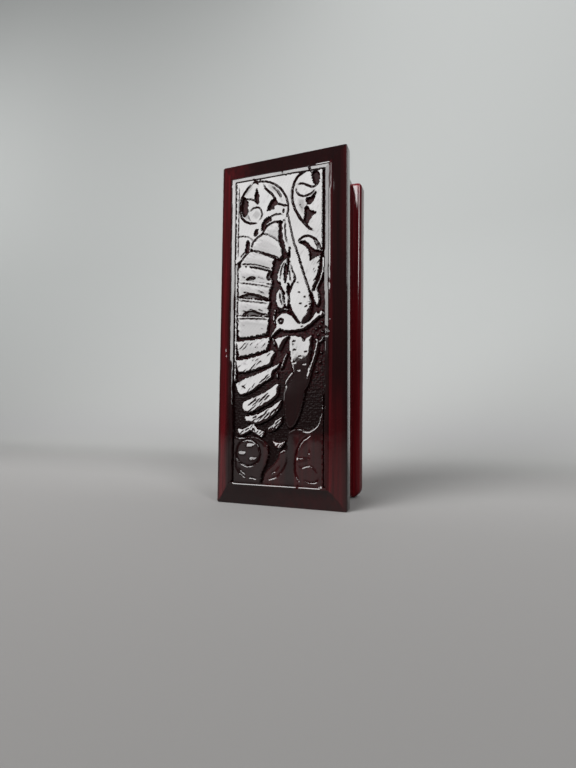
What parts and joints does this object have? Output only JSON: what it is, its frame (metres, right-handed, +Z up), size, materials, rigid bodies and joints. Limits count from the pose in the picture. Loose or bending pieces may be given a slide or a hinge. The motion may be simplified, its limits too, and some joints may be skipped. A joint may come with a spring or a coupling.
{
  "type": "carved wooden box",
  "caption": "Long wooden box standing on end, with a hinged bevelled lid, a carved field in a bead frame, inset walls and a round-edged base board.",
  "frame": {"origin": "middle of the end that the box stands on, at the bottom of its bounding box", "axes": "+Z up along the box's length as it stands on end, +Y from the carved lid to the base board, +X to the right as the lid is faced"},
  "size_m": [0.1076, 0.0804, 0.28],
  "materials": {
    "lacquered_wood": "gloss lacquer over dark cherry stain",
    "hinge_brass": "dull polished brass",
    "screw_steel": "plain wood screws, slotted"
  },
  "bodies": {
    "box": {"hinge_side_wall": "lacquered_wood", "opening_side_wall": "lacquered_wood", "top_end_wall": "lacquered_wood", "bottom_end_wall": "lacquered_wood", "base_board": "lacquered_wood", "top_hinge_box_leaf": "hinge_brass", "top_hinge_pin": "hinge_brass", "bottom_hinge_box_leaf": "hinge_brass", "bottom_hinge_pin": "hinge_brass", "box_leaf_screw_1": "hinge_brass", "box_leaf_screw_2": "hinge_brass", "box_leaf_screw_3": "hinge_brass", "box_leaf_screw_4": "hinge_brass", "base_screw_1": "screw_steel", "base_screw_2": "screw_steel", "base_screw_3": "screw_steel", "base_screw_4": "screw_steel", "base_screw_5": "screw_steel", "base_screw_6": "screw_steel"},
    "lid": {"lid_board": "lacquered_wood", "top_hinge_lid_leaf": "hinge_brass", "bottom_hinge_lid_leaf": "hinge_brass", "lid_leaf_screw_1": "hinge_brass", "lid_leaf_screw_2": "hinge_brass", "lid_leaf_screw_3": "hinge_brass", "lid_leaf_screw_4": "hinge_brass"}
  },
  "joints": [
    {"name": "lid_hinge", "type": "hinge", "parent": "box", "child": "lid", "pos_m": [-0.04689, -0.02416, 0.14], "axis": [0, 0, -1], "range_deg": [0, 100]}
  ]
}
